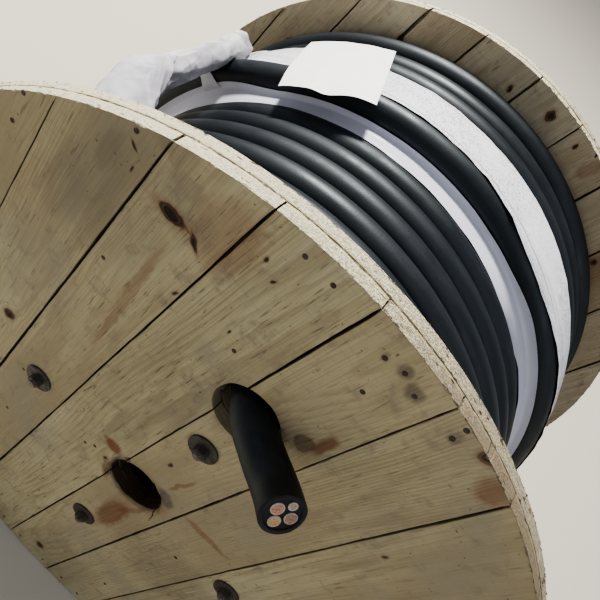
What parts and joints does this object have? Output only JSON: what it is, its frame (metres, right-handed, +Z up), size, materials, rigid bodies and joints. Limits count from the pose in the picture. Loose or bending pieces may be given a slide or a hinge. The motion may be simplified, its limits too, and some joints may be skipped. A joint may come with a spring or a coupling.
{
  "type": "wooden cable drum",
  "caption": "Wooden cable drum with crossed-board flanges, a staved barrel and steel tie rods, wound with heavy black rubber power cable and tied with white plastic strip.",
  "frame": {"origin": "middle of the drum, on the spindle axis, half way between the flanges", "axes": "+Y along the spindle axis, away from the flange that the cable's inner end comes out of; +Z up as the drum stands on its rims; X sideways"},
  "size_m": [1.2, 0.9478, 1.2],
  "materials": {
    "board_wood": "rough sawn pine, dry",
    "nail_steel": "dark, rusting",
    "rod_steel": "dull, weathered",
    "cable_rubber": "matt",
    "white_film": "woven white plastic film"
  },
  "bodies": {
    "root": {"near_flange_outer_boards": "board_wood", "near_flange_inner_boards": "board_wood", "far_flange_inner_boards": "board_wood", "far_flange_outer_boards": "board_wood", "near_flange_nails": "nail_steel", "far_flange_nails": "nail_steel", "barrel_staves": "board_wood", "tie_rods": "rod_steel", "tie_rod_washers": "rod_steel", "tie_rod_nuts": "rod_steel", "wound_cable": "cable_rubber", "cable_inner_end": "cable_rubber", "narrow_white_strip": "white_film", "wide_white_strip": "white_film", "white_sheet": "white_film", "cross_strip": "white_film", "strip_tail": "white_film"}
  },
  "joints": []
}
